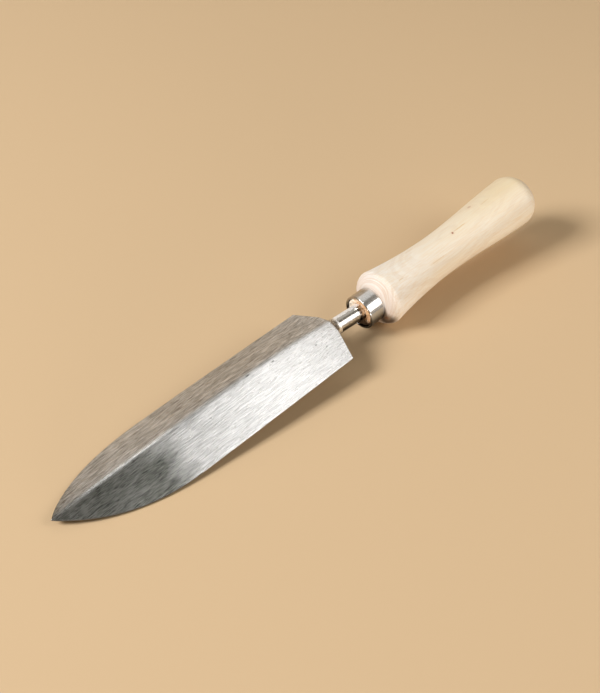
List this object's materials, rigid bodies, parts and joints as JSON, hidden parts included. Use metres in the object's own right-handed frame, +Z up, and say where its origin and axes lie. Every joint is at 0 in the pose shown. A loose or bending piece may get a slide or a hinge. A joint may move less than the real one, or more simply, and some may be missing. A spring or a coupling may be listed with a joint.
{
  "type": "weeding trowel",
  "caption": "Hand weeding trowel with a narrow ridged V-section blade, a round steel neck and a short turned wooden handle.",
  "frame": {"origin": "middle of the tool's footprint on the surface it lies on, ridge up", "axes": "+X from the blade's tip towards the butt of the handle, +Y across the blade, +Z up"},
  "size_m": [0.368, 0.0506, 0.0463],
  "materials": {
    "blade_steel": "ground and brushed along its length, with small dark nicks",
    "bar_steel": "polished round bar",
    "weld_steel": "ground weld, satin",
    "tube_steel": "satin polish",
    "turned_wood": "fine-sanded pale hardwood, oiled"
  },
  "bodies": {
    "root": {"blade": "blade_steel", "tang": "bar_steel", "weld": "weld_steel", "ferrule": "tube_steel", "handle": "turned_wood"}
  },
  "joints": []
}
